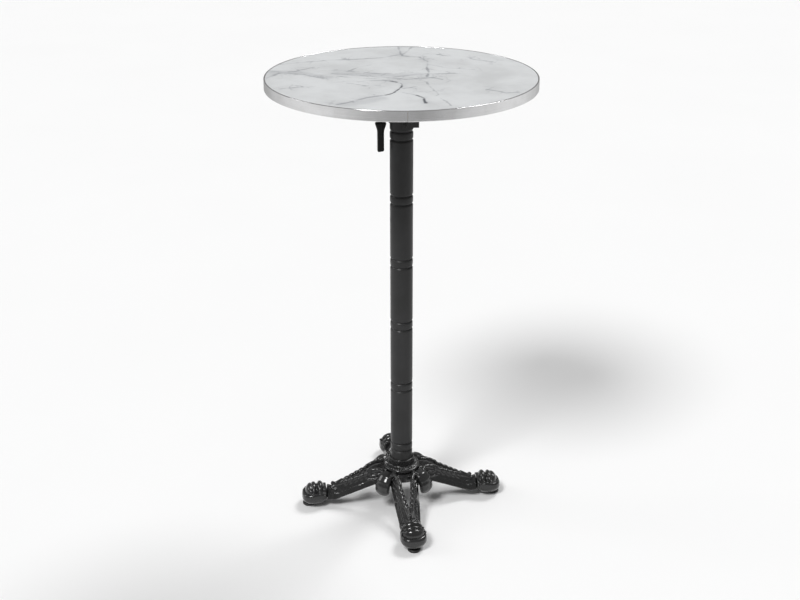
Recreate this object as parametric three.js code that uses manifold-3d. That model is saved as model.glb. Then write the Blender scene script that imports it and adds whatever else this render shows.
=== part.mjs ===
// Tilt-top bistro bar table: a round laminate top with a metal edge band, a tilting head with a
// squeeze latch, a grooved column, and a four-legged cast base that stands on screw glides.
// Millimetres, +Z up. The origin is on the floor under the column's axis. The legs lie on X and Y.

import * as THREE from "three";
import { mergeVertices } from "three/addons/utils/BufferGeometryUtils.js";
import { ConvexGeometry } from "three/addons/geometries/ConvexGeometry.js";
import Module from "manifold-3d";

const wasm = await Module();
wasm.setup();

// Whole object
const TABLE_H = 1080;
const GAP = 0.3;
const FULL = Math.PI * 2;

// Table top
const TOP_R = 303;
const BAND_H = 23;
const BAND_WALL = 1.4;
const BAND_LIP = 3;
const BAND_ROUND = 0.8;
const SEAM_W = 0.6;
const SEAM_AZIMUTH = -94.9;
const LAMINATE_T = 1;
const LAMINATE_DROP = 0.4;
const TOP_SEGMENTS = 72;
const BAND_BOTTOM = TABLE_H - BAND_H;
const SHEET_R = TOP_R - BAND_LIP - GAP;
const CORE_R = TOP_R - BAND_WALL - GAP;
const CORE_BOTTOM = BAND_BOTTOM + BAND_WALL + GAP;
const CORE_TOP = TABLE_H - BAND_WALL - GAP;
const BACKING_BOTTOM = CORE_BOTTOM - GAP - LAMINATE_T;

// Tilt hinge: its axis is parallel to Y
const HINGE_X = 12;
const HINGE_Z = 980;
const HINGE_BOLT_R = 5;
const HINGE_BOLT_HEAD_R = 9.2;
const HINGE_BOLT_HEAD_H = 6.4;
const BUSH_R = 7;
const EAR_INNER_Y = 41.5;
const EAR_T = 5;
const EAR_BOSS_R = 11.5;

// Frame under the top
const PLATE_T = 4;
const PLATE_TOP = BACKING_BOTTOM - GAP;
const PLATE_BOTTOM = PLATE_TOP - PLATE_T;
const SPIDER_R = 180;
const SPIDER_W = 32;
const SCREW_RADII = [112, 172];
const SCREW_SHANK_R = 2.2;
const SCREW_HEAD_R = 4.6;
const SCREW_L = 16;

// Column
const COLUMN_R = 26.6;
const COLUMN_BORE_R = 23.5;
const COLUMN_BOTTOM = 96.3;
const COLUMN_TOP = 983.7;
const COLUMN_SEGMENTS = 24;
const BAND_COUNT = 6;
const BAND_FIRST_Z = 152.6;
const BAND_PITCH = 165.6;
const BAND_PITCH_LOSS = 3.5;
const GROOVE_OFFSET = 10;
const GROOVE_HALF = 3.5;
const GROOVE_DEPTH = 2.4;

// Head on top of the column
const HEAD_Z = COLUMN_TOP + GAP;
const HEAD_FLANGE_T = 10;
const HEAD_BLOCK_TOP = 1040;
const BUFFER_R = 6;
const HEAD_SPIGOT_L = 52;
const HEAD_WELL_R = 17;
const HEAD_SEAT_Z = HEAD_Z + 20;
const ROD_CLEARANCE = 0.8;

// Squeeze latch: its axis is parallel to Y
const LATCH_X = -46;
const LATCH_Z = 994;
const LATCH_PIN_R = 3;
const LATCH_LEVER_W = 12;
const LEVER_HALF_T = 3;
const CHEEK_T = 5;
const CHEEK_CLEARANCE = 0.6;
const NOSE_Z = 1037;
const HANDLE_TOP = 975;
const HANDLE_BOTTOM = 907;
const HANDLE_X = -47.2;
const HANDLE_D = 13.4;
const GRIP_HALF = 7.5;
const GRIP_FLARE = 12.8;
const SPRING_Z = 1022;
const SPRING_R = 4;

// Tie rod through the column
const ROD_R = 6;
const ROD_BOTTOM = 60;
const ROD_TOP = 1022;
const NUT_CORNER_R = 10.4;
const NUT_H = 10;
const WASHER_R = 14;
const WASHER_T = 2;

// Base casting
const NECK_R = 30.4;
const NECK_TOP = 121;
const HUB_R = 47;
const HUB_TOP = 90.7;
const HUB_SKIRT = 71;
const HUB_BOTTOM = 68;
const WEB_BOTTOM = 80;
const NUT_WELL_R = 22;
const WALL_T = 7.5;
const WALL_STATIONS = [36, 52, 75, 105, 135, 163, 188];
const LEG_MIDDLE_R = 120;
const RIDGE_Z = 72.6;
const RIDGE_SLOPE = 0.4445;
const RIDGE_PEAK_Z = 98;
const RIDGE_END_Z = 47;
const FOOT_EDGE_Z = 39.5;
const FOOT_EDGE_SLOPE = 0.42;
const FOOT_EDGE_END_Z = 19;
const LOBE_W = 31;
const BUD_R = 172.5;
const BUD_Z = 53;
const PAW_R = 219;
const PAW_SQUARENESS = 2.6;
const PAW_NECK = { start: 184, end: 202, half: 20, low: 19, high: 45 };
const SOLE_RINGS = [
  { z: 7.6, length: 26, width: 17 },
  { z: 12, length: 27.5, width: 22 },
  { z: 18, length: 29.5, width: 30 },
  { z: 25, length: 31, width: 32 },
  { z: 38, length: 29.5, width: 30 },
];

// Glides
const GLIDE_RADIUS = 233;
const GLIDE_PAD_R = 15.5;
const GLIDE_PAD_H = 6.6;
const STUD_R = 4;
const STUD_TOP = 34;
const STUD_HEAD_R = 7;

const MATERIALS = {
  marble: new THREE.MeshStandardMaterial({ color: 0xd7d9da, roughness: 0.35, metalness: 0 }),
  board: new THREE.MeshStandardMaterial({ color: 0xb08b62, roughness: 0.85, metalness: 0 }),
  backing: new THREE.MeshStandardMaterial({ color: 0x8d8a86, roughness: 0.7, metalness: 0 }),
  band: new THREE.MeshStandardMaterial({ color: 0xc4c5c6, roughness: 0.3, metalness: 1 }),
  column: new THREE.MeshStandardMaterial({ color: 0x3a3a3b, roughness: 0.5, metalness: 0.2 }),
  cast: new THREE.MeshStandardMaterial({ color: 0x2b2b2c, roughness: 0.35, metalness: 0.3 }),
  bracket: new THREE.MeshStandardMaterial({ color: 0x202021, roughness: 0.45, metalness: 0.3 }),
  zinc: new THREE.MeshStandardMaterial({ color: 0xb9bbbd, roughness: 0.35, metalness: 1 }),
  plastic: new THREE.MeshStandardMaterial({ color: 0x161617, roughness: 0.45, metalness: 0 }),
  rubber: new THREE.MeshStandardMaterial({ color: 0x1b1b1b, roughness: 0.9, metalness: 0 }),
};

const table = new THREE.Group();

function addPart(name, geometry, material) {
  const mesh = new THREE.Mesh(geometry, material);
  mesh.name = name;
  table.add(mesh);
  return mesh;
}

// Booleans

function solid(geometry) {
  const bare = geometry.clone();
  bare.deleteAttribute("normal");
  bare.deleteAttribute("uv");
  const merged = mergeVertices(bare, 1e-4);
  return new wasm.Manifold(
    new wasm.Mesh({
      numProp: 3,
      vertProperties: new Float32Array(merged.attributes.position.array),
      triVerts: new Uint32Array(merged.index.array),
    }),
  );
}

function toGeometry(manifold) {
  const mesh = manifold.getMesh();
  const geometry = new THREE.BufferGeometry();
  geometry.setAttribute("position", new THREE.BufferAttribute(mesh.vertProperties, 3));
  geometry.setIndex(new THREE.BufferAttribute(mesh.triVerts, 1));
  return geometry;
}

function join(geometries) {
  return geometries.map(solid).reduce((sum, piece) => sum.add(piece));
}

function cut(manifold, geometries) {
  return geometries.map(solid).reduce((rest, piece) => rest.subtract(piece), manifold);
}

// Shapes

function lathe(points, segments) {
  const profile = points.map(([r, z]) => new THREE.Vector2(r, z));
  return new THREE.LatheGeometry(profile, segments).rotateX(Math.PI / 2);
}

function ring(inner, outer, low, high, segments) {
  return lathe([[inner, low], [outer, low], [outer, high], [inner, high], [inner, low]], segments);
}

function rod(radius, low, high, segments, x = 0, y = 0) {
  return new THREE.CylinderGeometry(radius, radius, high - low, segments)
    .rotateX(Math.PI / 2)
    .translate(x, y, (low + high) / 2);
}

// A cylinder parallel to Y
function crossRod(radius, fromY, toY, segments, x, z) {
  return new THREE.CylinderGeometry(radius, radius, Math.abs(toY - fromY), segments)
    .translate(x, (fromY + toY) / 2, z);
}

function block(x0, x1, y0, y1, z0, z1) {
  return new THREE.BoxGeometry(x1 - x0, y1 - y0, z1 - z0)
    .translate((x0 + x1) / 2, (y0 + y1) / 2, (z0 + z1) / 2);
}

// A flat outline in the XZ plane, given thickness along Y
function sidePlate(shape, fromY, toY, curveSegments = 6) {
  return new THREE.ExtrudeGeometry(shape, { depth: toY - fromY, bevelEnabled: false, curveSegments })
    .rotateX(Math.PI / 2)
    .translate(0, toY, 0);
}

function outline(points) {
  return new THREE.Shape(points.map(([x, z]) => new THREE.Vector2(x, z)));
}

function turned(geometry, quarters) {
  return geometry.clone().rotateZ(quarters * Math.PI / 2);
}

function quarters(makePiece) {
  return [0, 1, 2, 3].map((k) => turned(makePiece(), k));
}

// Table top

function makeTop() {
  addPart("tabletop_core", toGeometry(cut(
    solid(rod(CORE_R, CORE_BOTTOM, CORE_TOP, TOP_SEGMENTS)),
    screwPlaces().map(([x, y]) => rod(SCREW_SHANK_R + GAP, 0, PLATE_BOTTOM + SCREW_L + 1, 12, x, y)),
  )), MATERIALS.board);
  const marbleTop = TABLE_H - LAMINATE_DROP;
  addPart("marble_laminate", rod(SHEET_R, marbleTop - LAMINATE_T, marbleTop, TOP_SEGMENTS), MATERIALS.marble);
  addPart("backing_laminate", toGeometry(cut(
    solid(rod(SHEET_R, BACKING_BOTTOM, BACKING_BOTTOM + LAMINATE_T, TOP_SEGMENTS)),
    screwPlaces().map(([x, y]) => rod(SCREW_SHANK_R + GAP, 0, TABLE_H, 12, x, y)),
  )), MATERIALS.backing);
  addPart("edge_band", toGeometry(makeEdgeBand()), MATERIALS.band);
}

// A C-shaped channel round the board, open at the seam
function makeEdgeBand() {
  const lip = TOP_R - BAND_LIP;
  const wall = TOP_R - BAND_WALL;
  const channel = lathe([
    [lip, BAND_BOTTOM],
    [TOP_R - BAND_ROUND, BAND_BOTTOM],
    [TOP_R, BAND_BOTTOM + BAND_ROUND],
    [TOP_R, TABLE_H - BAND_ROUND],
    [TOP_R - BAND_ROUND, TABLE_H],
    [lip, TABLE_H],
    [lip, TABLE_H - BAND_WALL],
    [wall, TABLE_H - BAND_WALL],
    [wall, BAND_BOTTOM + BAND_WALL],
    [lip, BAND_BOTTOM + BAND_WALL],
    [lip, BAND_BOTTOM],
  ], TOP_SEGMENTS);
  const seam = block(TOP_R - 10, TOP_R + 10, -SEAM_W / 2, SEAM_W / 2, BAND_BOTTOM - 5, TABLE_H + 5)
    .rotateZ(THREE.MathUtils.degToRad(SEAM_AZIMUTH));
  return cut(solid(channel), [seam]);
}

// Frame under the top

function screwPlaces() {
  const places = [];
  for (let arm = 0; arm < 4; arm += 1) {
    const angle = Math.PI / 4 + arm * Math.PI / 2;
    for (const radius of SCREW_RADII) {
      places.push([radius * Math.cos(angle), radius * Math.sin(angle)]);
    }
  }
  return places;
}

function makeTopFrame() {
  const pieces = [block(-66, 76, -EAR_INNER_Y - EAR_T, EAR_INNER_Y + EAR_T, PLATE_BOTTOM, PLATE_TOP)];
  for (let arm = 0; arm < 4; arm += 1) {
    const strip = join([
      block(0, SPIDER_R, -SPIDER_W / 2, SPIDER_W / 2, PLATE_BOTTOM, PLATE_TOP),
      rod(SPIDER_W / 2, PLATE_BOTTOM, PLATE_TOP, 16, SPIDER_R, 0),
    ]);
    pieces.push(toGeometry(strip).rotateZ(Math.PI / 4 + arm * Math.PI / 2));
  }
  const ear = new THREE.Shape();
  ear.moveTo(-38, PLATE_TOP - 1);
  ear.lineTo(HINGE_X - EAR_BOSS_R, HINGE_Z + 6);
  ear.absarc(HINGE_X, HINGE_Z, EAR_BOSS_R, Math.PI * 0.9, FULL + Math.PI * 0.1, false);
  ear.lineTo(62, PLATE_TOP - 1);
  for (const inner of [EAR_INNER_Y, -EAR_INNER_Y - EAR_T]) {
    pieces.push(sidePlate(ear, inner, inner + EAR_T));
  }
  const holes = screwPlaces().map(([x, y]) => rod(SCREW_SHANK_R + GAP, 0, TABLE_H, 12, x, y));
  holes.push(crossRod(BUSH_R + GAP, -60, 60, 24, HINGE_X, HINGE_Z));
  addPart("top_frame", toGeometry(cut(join(pieces), holes)), MATERIALS.bracket);
}

function makeScrews() {
  const headTop = PLATE_BOTTOM - GAP;
  screwPlaces().forEach(([x, y], index) => {
    const screw = lathe([
      [0, headTop - 3],
      [SCREW_HEAD_R * 0.6, headTop - 2.8],
      [SCREW_HEAD_R, headTop - 1.2],
      [SCREW_HEAD_R, headTop],
      [SCREW_SHANK_R, headTop],
      [SCREW_SHANK_R, headTop + SCREW_L - 3],
      [0, headTop + SCREW_L],
    ], 12).translate(x, y, 0);
    addPart(`frame_screw_${index + 1}`, screw, MATERIALS.zinc);
  });
}

// A hanging tab whose lip points away from the column
function makeLatchKeeper() {
  const tab = outline([
    [-45.3, NOSE_Z - 6],
    [-38, NOSE_Z - 6],
    [-38, PLATE_BOTTOM - 4 - GAP],
    [-26, PLATE_BOTTOM - 4 - GAP],
    [-26, PLATE_BOTTOM - GAP],
    [-41, PLATE_BOTTOM - GAP],
    [-41, NOSE_Z - 1],
    [-45.3, NOSE_Z - 1],
  ]);
  addPart("latch_keeper", sidePlate(tab, -8, 8), MATERIALS.bracket);
}

// Hinge

function makeHingeHardware() {
  for (const [side, name] of [[-1, "front"], [1, "rear"]]) {
    const earOuter = EAR_INNER_Y + EAR_T;
    const bush = ring(HINGE_BOLT_R + GAP, BUSH_R, EAR_INNER_Y, earOuter, 24)
      .rotateX(-side * Math.PI / 2)
      .translate(HINGE_X, 0, HINGE_Z);
    addPart(`hinge_bush_${name}`, bush, MATERIALS.plastic);
    const headStart = side * (earOuter + GAP);
    const headEnd = side * (earOuter + GAP + HINGE_BOLT_HEAD_H);
    const bolt = join([
      crossRod(HINGE_BOLT_R, side * 33, side * (earOuter + 1), 20, HINGE_X, HINGE_Z),
      crossRod(HINGE_BOLT_HEAD_R, headStart, headEnd, 6, HINGE_X, HINGE_Z),
    ]);
    addPart(`hinge_bolt_${name}`, toGeometry(bolt), MATERIALS.bracket);
  }
}

// Column

// The groove pairs stand a little closer together towards the top
function grooveBandZ(band) {
  return BAND_FIRST_Z + band * BAND_PITCH - BAND_PITCH_LOSS * band * (band - 1) / 2;
}

function makeColumn() {
  const points = [[COLUMN_BORE_R, COLUMN_BOTTOM], [COLUMN_R, COLUMN_BOTTOM]];
  for (let band = 0; band < BAND_COUNT; band += 1) {
    for (const offset of [-GROOVE_OFFSET, GROOVE_OFFSET]) {
      const z = grooveBandZ(band) + offset;
      points.push([COLUMN_R, z - GROOVE_HALF]);
      points.push([COLUMN_R - GROOVE_DEPTH, z]);
      points.push([COLUMN_R, z + GROOVE_HALF]);
    }
  }
  points.push([COLUMN_R, COLUMN_TOP], [COLUMN_BORE_R, COLUMN_TOP], [COLUMN_BORE_R, COLUMN_BOTTOM]);
  addPart("column_tube", lathe(points, COLUMN_SEGMENTS), MATERIALS.column);
}

function makeTieRod() {
  addPart("tie_rod", rod(ROD_R, ROD_BOTTOM, ROD_TOP, 20), MATERIALS.zinc);
  const topWasher = HEAD_SEAT_Z + GAP;
  const lowWasher = WEB_BOTTOM - GAP - WASHER_T;
  addPart("tie_washer_top", ring(ROD_R + GAP, WASHER_R, topWasher, topWasher + WASHER_T, 24), MATERIALS.zinc);
  addPart("tie_washer_bottom", ring(ROD_R + GAP, WASHER_R, lowWasher, lowWasher + WASHER_T, 24), MATERIALS.zinc);
  const topNut = topWasher + WASHER_T + GAP;
  const lowNut = lowWasher - GAP - NUT_H;
  for (const [name, low] of [["tie_nut_top", topNut], ["tie_nut_bottom", lowNut]]) {
    const nut = cut(solid(rod(NUT_CORNER_R, low, low + NUT_H, 6)), [rod(ROD_R + GAP, low - 1, low + NUT_H + 1, 20)]);
    addPart(name, toGeometry(nut), MATERIALS.zinc);
  }
}

// Head

function makeHead() {
  const flangeTop = HEAD_Z + HEAD_FLANGE_T;
  const lugInner = 31;
  const lugOuter = EAR_INNER_Y - GAP - 0.4;
  const pieces = [
    rod(COLUMN_BORE_R - GAP, HEAD_Z - HEAD_SPIGOT_L, HEAD_Z + 1, COLUMN_SEGMENTS),
    block(-33, 34, -lugOuter, lugOuter, HEAD_Z, flangeTop),
    block(-22, 30, -26, 26, HEAD_Z + 1, HEAD_BLOCK_TOP),
  ];
  for (const side of [-1, 1]) {
    const inner = side * lugInner;
    const outer = side * lugOuter;
    const low = Math.min(inner, outer);
    const high = Math.max(inner, outer);
    pieces.push(block(HINGE_X - EAR_BOSS_R, HINGE_X + EAR_BOSS_R, low, high, HINGE_Z, HEAD_Z + 1));
    pieces.push(crossRod(EAR_BOSS_R, low, high, 24, HINGE_X, HINGE_Z));
    pieces.push(block(HINGE_X, 34, low, high, HINGE_Z - 9, HEAD_Z + 1));
    const cheekY = side * (LATCH_LEVER_W / 2 + CHEEK_CLEARANCE + CHEEK_T / 2);
    pieces.push(block(-56, -20, cheekY - CHEEK_T / 2, cheekY + CHEEK_T / 2, HEAD_Z + 1, LATCH_Z + 9));
  }
  const cuts = [
    rod(ROD_R + ROD_CLEARANCE, HEAD_Z - 60, HEAD_BLOCK_TOP, 20),
    rod(HEAD_WELL_R, HEAD_SEAT_Z, HEAD_BLOCK_TOP + 5, 20),
    crossRod(HINGE_BOLT_R + GAP, -60, -32, 20, HINGE_X, HINGE_Z),
    crossRod(HINGE_BOLT_R + GAP, 32, 60, 20, HINGE_X, HINGE_Z),
    crossRod(LATCH_PIN_R + GAP, -20, 20, 16, LATCH_X, LATCH_Z),
  ];
  addPart("column_head", toGeometry(cut(join(pieces), cuts)), MATERIALS.bracket);
  for (const [side, name] of [[-1, "front"], [1, "rear"]]) {
    const buffer = rod(BUFFER_R, HEAD_BLOCK_TOP + GAP, PLATE_BOTTOM - GAP, 16, -12, side * 19);
    addPart(`rest_buffer_${name}`, buffer, MATERIALS.rubber);
  }
}

// Latch

function makeLatch() {
  const arm = new THREE.Shape();
  arm.moveTo(-54, NOSE_Z);
  arm.lineTo(-54, LATCH_Z + 10);
  arm.absarc(LATCH_X, LATCH_Z, 8, Math.PI * 0.75, Math.PI * 1.1, false);
  arm.lineTo(HANDLE_X - LEVER_HALF_T, HANDLE_TOP + 10);
  arm.lineTo(HANDLE_X - LEVER_HALF_T, HANDLE_BOTTOM + 10);
  arm.lineTo(HANDLE_X + LEVER_HALF_T, HANDLE_BOTTOM + 10);
  arm.lineTo(HANDLE_X + LEVER_HALF_T, HANDLE_TOP + 10);
  arm.absarc(LATCH_X, LATCH_Z, 8, -Math.PI * 0.3, Math.PI * 0.45, false);
  arm.lineTo(-48, LATCH_Z + 14);
  arm.lineTo(-48, NOSE_Z);
  arm.lineTo(-45.9, NOSE_Z);
  arm.lineTo(-45.9, NOSE_Z + 6);
  arm.lineTo(-51, NOSE_Z + 8);
  arm.lineTo(-54, NOSE_Z + 4);
  const half = LATCH_LEVER_W / 2;
  const lever = cut(solid(sidePlate(arm, -half, half)), [
    crossRod(LATCH_PIN_R + GAP, -20, 20, 16, LATCH_X, LATCH_Z),
  ]);
  addPart("latch_lever", toGeometry(lever), MATERIALS.bracket);

  const grip = new THREE.Shape();
  grip.moveTo(HANDLE_X - GRIP_FLARE, HANDLE_TOP);
  grip.quadraticCurveTo(HANDLE_X - 8.2, HANDLE_TOP - 9, HANDLE_X - GRIP_HALF, HANDLE_TOP - 20);
  grip.lineTo(HANDLE_X - GRIP_HALF, HANDLE_BOTTOM + 4);
  grip.quadraticCurveTo(HANDLE_X - GRIP_HALF, HANDLE_BOTTOM, HANDLE_X - 4, HANDLE_BOTTOM);
  grip.lineTo(HANDLE_X + 4, HANDLE_BOTTOM + 2);
  grip.quadraticCurveTo(HANDLE_X + GRIP_HALF, HANDLE_BOTTOM + 3, HANDLE_X + GRIP_HALF, HANDLE_BOTTOM + 7);
  grip.lineTo(HANDLE_X + GRIP_HALF, HANDLE_TOP - 20);
  grip.quadraticCurveTo(HANDLE_X + 8.6, HANDLE_TOP - 9, HANDLE_X + GRIP_FLARE, HANDLE_TOP);
  const slot = block(
    HANDLE_X - LEVER_HALF_T - GAP, HANDLE_X + LEVER_HALF_T + GAP,
    -half - GAP, half + GAP,
    HANDLE_BOTTOM + 10 - GAP, HANDLE_TOP + 5,
  );
  const handle = cut(solid(sidePlate(grip, -HANDLE_D / 2 - 1, HANDLE_D / 2 + 1)), [slot]);
  addPart("lever_handle", toGeometry(handle), MATERIALS.plastic);

  const pinEnd = half + CHEEK_CLEARANCE + CHEEK_T + 2;
  addPart("latch_pin", crossRod(LATCH_PIN_R, -pinEnd, pinEnd, 16, LATCH_X, LATCH_Z), MATERIALS.zinc);
  const spring = new THREE.CylinderGeometry(SPRING_R, SPRING_R, 48 - 22 - 2 * GAP, 12)
    .rotateZ(Math.PI / 2)
    .translate(-35, 0, SPRING_Z);
  addPart("latch_spring", spring, MATERIALS.zinc);
}

// Base casting

// Each leg has two walls that lean together: the ridge runs along the top, the foot edge below
function ridgeZ(r) {
  const rising = HUB_TOP + (r - 43) * 0.8;
  const falling = Math.max(RIDGE_Z - (r - LEG_MIDDLE_R) * RIDGE_SLOPE, RIDGE_END_Z);
  return Math.min(rising, falling, RIDGE_PEAK_Z);
}

function ridgeY(r) {
  return Math.max(8 - (r - LEG_MIDDLE_R) * 0.185, 0);
}

function footEdgeZ(r) {
  return Math.max(FOOT_EDGE_Z - (r - LEG_MIDDLE_R) * FOOT_EDGE_SLOPE, FOOT_EDGE_END_Z);
}

function footEdgeY(r) {
  return 28 - (r - LEG_MIDDLE_R) * 0.092;
}

function wallSection(r, side) {
  const ridge = ridgeY(r);
  return [
    [ridge + 3.5, ridgeZ(r)],
    [footEdgeY(r), footEdgeZ(r)],
    [footEdgeY(r) - WALL_T, footEdgeZ(r)],
    [Math.max(ridge - 4, -1), ridgeZ(r)],
  ].map(([y, z]) => new THREE.Vector3(r, side * y, z));
}

function makeLeg() {
  const pieces = [knuckle(BUD_R, BUD_Z, 5.4, 4.6, 5.4)];
  for (const side of [-1, 1]) {
    for (let i = 0; i + 1 < WALL_STATIONS.length; i += 1) {
      const corners = [...wallSection(WALL_STATIONS[i], side), ...wallSection(WALL_STATIONS[i + 1], side)];
      pieces.push(new ConvexGeometry(corners));
    }
  }
  return pieces;
}

function knuckle(r, z, length, width, height) {
  return new THREE.SphereGeometry(1, 12, 7)
    .rotateX(Math.PI / 2)
    .scale(length, width, height)
    .translate(r, 0, z);
}

// A bowl-shaped sole with a tall knuckle behind and the toes in front
function makePaw() {
  const corners = [];
  const steps = 20;
  for (const { z, length, width } of SOLE_RINGS) {
    for (let k = 0; k < steps; k += 1) {
      const angle = (k / steps) * FULL;
      const c = Math.cos(angle);
      const s = Math.sin(angle);
      const reach = (Math.abs(c) ** PAW_SQUARENESS + Math.abs(s) ** PAW_SQUARENESS) ** (-1 / PAW_SQUARENESS);
      corners.push(new THREE.Vector3(PAW_R + length * c * reach, width * s * reach, z));
    }
  }
  const neck = PAW_NECK;
  return [
    new ConvexGeometry(corners),
    knuckle(205, 33, 12.5, 28.5, 26),
    knuckle(221, 36, 21, 28, 20.5),
    block(neck.start, neck.end, -neck.half, neck.half, neck.low, neck.high),
  ];
}

// A tongue on the diagonal, drooping outside the place where two legs meet
function makeLobe() {
  const side = new THREE.Shape();
  side.moveTo(40, HUB_TOP - 1);
  side.quadraticCurveTo(80, 101, 86, 68);
  side.quadraticCurveTo(88, 42, 77, 40);
  side.quadraticCurveTo(69, 40, 67, 56);
  side.lineTo(52, 68);
  side.lineTo(40, 70);
  return sidePlate(side, -LOBE_W / 2, LOBE_W / 2).rotateZ(Math.PI / 4);
}

function makeHub() {
  return lathe([
    [0, HUB_BOTTOM],
    [HUB_R - 9, HUB_BOTTOM],
    [HUB_R, HUB_SKIRT],
    [HUB_R, HUB_TOP],
    [NECK_R, HUB_TOP],
    [NECK_R, NECK_TOP - 1],
    [NECK_R - 1, NECK_TOP],
    [0, NECK_TOP],
  ], 32);
}

function makeBase() {
  const pieces = [makeHub()];
  for (let k = 0; k < 4; k += 1) {
    const leg = [...makeLeg(), ...makePaw(), makeLobe()];
    pieces.push(...leg.map((geometry) => turned(geometry, k)));
  }
  const cuts = [
    rod(COLUMN_R + GAP, COLUMN_BOTTOM - GAP, NECK_TOP + 5, 32),
    rod(ROD_R + ROD_CLEARANCE, HUB_BOTTOM - 5, NECK_TOP, 20),
    rod(NUT_WELL_R, 0, WEB_BOTTOM, 20),
    ...quarters(() => rod(STUD_R + GAP, 0, STUD_TOP + GAP + 2, 16, GLIDE_RADIUS, 0)),
  ];
  addPart("base_casting", toGeometry(cut(join(pieces), cuts)), MATERIALS.cast);
}

// A loose ring round the neck: a torus below and a sloping gadrooned shoulder above
function makeCollar() {
  const bore = NECK_R + GAP;
  const low = HUB_TOP + GAP;
  addPart("base_collar", lathe([
    [bore, low],
    [43, low],
    [44.8, 94],
    [45.4, 97],
    [44.6, 100],
    [42.4, 101.6],
    [36, 104],
    [33, 105],
    [bore, 105],
    [bore, low],
  ], 32), MATERIALS.cast);
}

// Glides: a swivelling pad that turns on a threaded stud

function makeGlides() {
  const pad = lathe([
    [0, 0],
    [GLIDE_PAD_R - 1.5, 0],
    [GLIDE_PAD_R, 1.5],
    [GLIDE_PAD_R, 4.6],
    [GLIDE_PAD_R - 2, GLIDE_PAD_H],
    [STUD_HEAD_R + GAP, GLIDE_PAD_H],
    [STUD_HEAD_R + GAP, 3],
    [0, 3],
  ], 18);
  const stud = lathe([
    [0, 3 + GAP],
    [STUD_HEAD_R, 3 + GAP],
    [STUD_HEAD_R, GLIDE_PAD_H + 0.4],
    [STUD_R, GLIDE_PAD_H + 0.4],
    [STUD_R, STUD_TOP - 1],
    [STUD_R - 1, STUD_TOP],
    [0, STUD_TOP],
  ], 16);
  for (let k = 0; k < 4; k += 1) {
    const at = (geometry) => turned(geometry.clone().translate(GLIDE_RADIUS, 0, 0), k);
    addPart(`glide_pad_${k + 1}`, at(pad), MATERIALS.rubber);
    addPart(`glide_stud_${k + 1}`, at(stud), MATERIALS.zinc);
  }
}

makeTop();
makeTopFrame();
makeScrews();
makeLatchKeeper();
makeHingeHardware();
makeColumn();
makeTieRod();
makeHead();
makeLatch();
makeBase();
makeCollar();
makeGlides();

export default table;
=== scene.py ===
# A tilt-top bistro bar table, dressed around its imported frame. Metres, +Z up, origin on the floor.
# Shapes that are easier to read in millimetres are written so and scaled by MM.
import math

import bpy
import numpy as np
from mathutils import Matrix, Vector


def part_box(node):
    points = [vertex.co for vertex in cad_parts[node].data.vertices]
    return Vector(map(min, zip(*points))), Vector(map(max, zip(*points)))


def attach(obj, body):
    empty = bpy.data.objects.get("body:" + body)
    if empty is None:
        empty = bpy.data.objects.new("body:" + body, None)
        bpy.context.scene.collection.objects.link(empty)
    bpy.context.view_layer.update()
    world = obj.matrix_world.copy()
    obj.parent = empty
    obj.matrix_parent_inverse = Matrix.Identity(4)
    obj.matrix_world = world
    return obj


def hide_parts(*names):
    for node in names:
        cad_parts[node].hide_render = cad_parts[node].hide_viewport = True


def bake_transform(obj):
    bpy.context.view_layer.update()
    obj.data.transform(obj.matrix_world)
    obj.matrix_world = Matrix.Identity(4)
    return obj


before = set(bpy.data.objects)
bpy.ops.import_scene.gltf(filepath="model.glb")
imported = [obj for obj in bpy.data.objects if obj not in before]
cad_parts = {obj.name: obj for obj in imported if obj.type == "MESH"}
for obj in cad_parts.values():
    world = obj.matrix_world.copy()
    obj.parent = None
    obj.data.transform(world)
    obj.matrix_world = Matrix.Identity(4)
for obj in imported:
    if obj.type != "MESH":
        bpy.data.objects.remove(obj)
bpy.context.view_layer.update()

import openvdb
from mathutils import Matrix, Vector

MM = 0.001
TAU = 2 * math.pi

# ---------------------------------------------------------------- camera and stage

CAMERA_AZIMUTH = 0.1268
CAMERA_DISTANCE = 2.7445
CAMERA_HEIGHT = 1.7319
CAMERA_PITCH = 0.3843
CAMERA_LENS = 56.95
CAMERA_SENSOR = 36
CAMERA_SHIFT = (-0.0019, -0.04)
CAMERA_REACH = 60


def make_camera():
    data = bpy.data.cameras.new("camera")
    data.sensor_width = CAMERA_SENSOR
    data.lens = CAMERA_LENS
    data.shift_x, data.shift_y = CAMERA_SHIFT
    data.clip_end = CAMERA_REACH
    camera = bpy.data.objects.new("camera", data)
    camera.location = (
        -CAMERA_DISTANCE * math.sin(CAMERA_AZIMUTH),
        -CAMERA_DISTANCE * math.cos(CAMERA_AZIMUTH),
        CAMERA_HEIGHT,
    )
    camera.rotation_euler = (math.pi / 2 - CAMERA_PITCH, 0, -CAMERA_AZIMUTH)
    bpy.context.scene.collection.objects.link(camera)
    bpy.context.scene.camera = camera


def aim(obj, target):
    direction = Vector(target) - obj.location
    obj.rotation_euler = direction.to_track_quat("-Z", "Y").to_euler()


def broad_light(name, source, spread, strength):
    """A wide soft source far off in the direction of source, spread degrees across."""
    data = bpy.data.lights.new(name, "SUN")
    data.angle = math.radians(spread)
    data.energy = strength
    light = bpy.data.objects.new(name, data)
    light.location = source
    bpy.context.scene.collection.objects.link(light)
    aim(light, (0, 0, 0))


# Brightness of the studio walls: the two side walls are this much paler, the front and back dimmer
WALL_TONE = 0.60
WALL_SWING = 0.22
SKY_TONE = 0.25
# Upward slope over which the walls give way to the sky, and the downward one below their feet
WALL_HEAD = (0.02, 0.10)
WALL_FOOT = (-0.6, -0.35)
# Name, direction, width in degrees and strength of each soft light
LIGHTS = [
    ("key", (-1.0, -1.1, 1.9), 18, 1.85),
    ("back", (0.9, 0.8, 1.6), 20, 1.35),
    ("side", (-1.6, 0.5, 0.9), 22, 0.40),
]
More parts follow.
